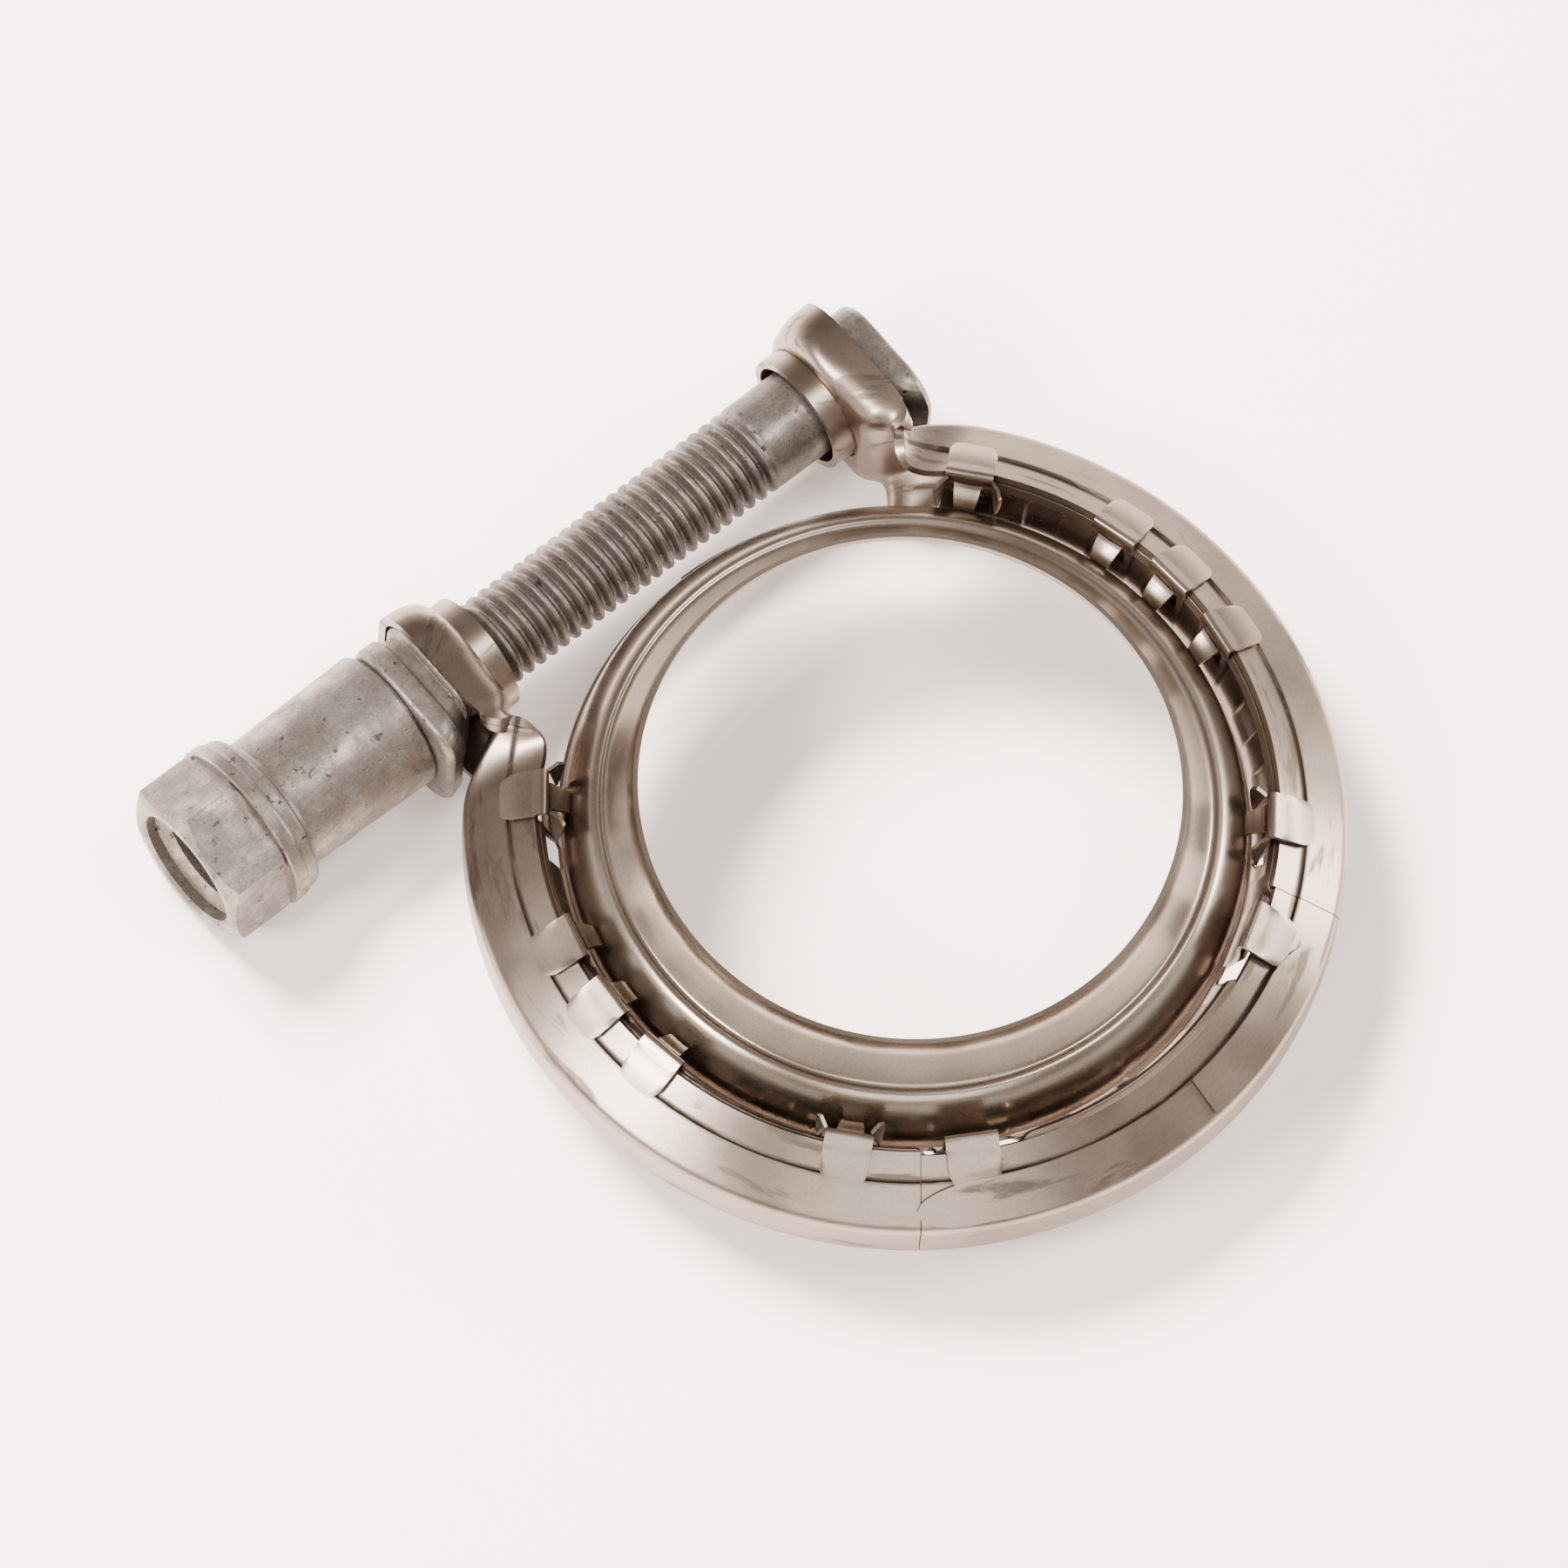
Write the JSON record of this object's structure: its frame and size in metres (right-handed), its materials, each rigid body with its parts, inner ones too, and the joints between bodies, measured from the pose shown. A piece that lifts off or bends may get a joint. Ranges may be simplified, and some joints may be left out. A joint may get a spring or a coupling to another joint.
{
  "type": "v-band clamp with t-bolt and seal ring",
  "caption": "Loosened V-band hose and exhaust clamp: sprung half shells with V liners, T-bolt with long sleeve nut, and a pressed seal ring held by hook clips.",
  "frame": {"origin": "centre of the V groove's circle, on the groove's middle plane", "axes": "+Z along the ring's axis towards the seal's collar, +X along the bolt from nut to T head, +Y from the ring's centre towards the bolt"},
  "size_m": [0.085, 0.0786, 0.0172],
  "materials": {
    "band_steel": "rolled stainless sheet, warm grey, drawn and scuffed, dark smudges",
    "liner_steel": "rolled stainless sheet, sheared edges",
    "seal_steel": "thin spring stainless sheet, satin with forming lines",
    "clip_steel": "thin spring stainless strip, satin, bright sheared edges",
    "bolt_coat": "steel with a dull grey zinc flake coat, fine speckle",
    "washer_coat": "steel with a dull grey zinc flake coat, rubbed edges",
    "nut_coat": "steel with a dull grey zinc flake coat, pitted and scuffed"
  },
  "bodies": {
    "root": {"hinge_bridge": "band_steel", "middle_liner": "liner_steel", "seal_ring": "seal_steel", "retainer_ring": "clip_steel", "hook_clip_1": "clip_steel", "hook_clip_2": "clip_steel", "hook_clip_3": "clip_steel", "hook_clip_4": "clip_steel", "hook_clip_5": "clip_steel", "hook_clip_6": "clip_steel", "hook_clip_7": "clip_steel", "hook_clip_8": "clip_steel", "hook_clip_9": "clip_steel", "hook_clip_10": "clip_steel", "hook_clip_11": "clip_steel", "hook_clip_12": "clip_steel"},
    "left_band": {"left_band_shell": "band_steel", "left_liner": "liner_steel"},
    "right_band": {"right_band_shell": "band_steel", "right_liner": "liner_steel"},
    "bolt": {"t_bolt": "bolt_coat"},
    "washer": {"saddle_washer": "washer_coat"},
    "nut": {"sleeve_nut": "nut_coat"}
  },
  "joints": [
    {"name": "left_close", "type": "hinge", "parent": "root", "child": "left_band", "pos_m": [0, -0.036, 0], "axis": [0, 0, 1], "range_deg": [-2.08, 0.05], "deforming": ["hook_clip_7", "hook_clip_8", "hook_clip_9", "hook_clip_10", "hook_clip_11", "hook_clip_12", "hinge_bridge"]},
    {"name": "right_close", "type": "hinge", "parent": "root", "child": "right_band", "pos_m": [0, -0.036, 0], "axis": [0, 0, 1], "range_deg": [-0.05, 2.08], "deforming": ["hook_clip_1", "hook_clip_2", "hook_clip_3", "hook_clip_4", "hook_clip_5", "hook_clip_6"]},
    {"name": "bolt_swivel", "type": "hinge", "parent": "right_band", "child": "bolt", "pos_m": [0.02, 0.0345, 0], "axis": [0, 0, 1], "range_deg": [-2.08, 0.05]},
    {"name": "nut_travel", "type": "slide", "parent": "bolt", "child": "washer", "axis": [1, 0, 0], "range_m": [0, 0.005]},
    {"name": "nut_spin", "type": "hinge", "parent": "washer", "child": "nut", "pos_m": [-0.0266, 0.0345, 0], "axis": [1, 0, 0], "range_deg": [-5, 1445]}
  ],
  "couplings": [
    {"joint": "left_close", "follows": "nut_travel", "rad_per_m": -7.0937},
    {"joint": "right_close", "follows": "nut_travel", "rad_per_m": 7.0937},
    {"joint": "bolt_swivel", "follows": "nut_travel", "rad_per_m": -7.0937},
    {"joint": "nut_spin", "follows": "nut_travel", "rad_per_m": 5026.5}
  ]
}
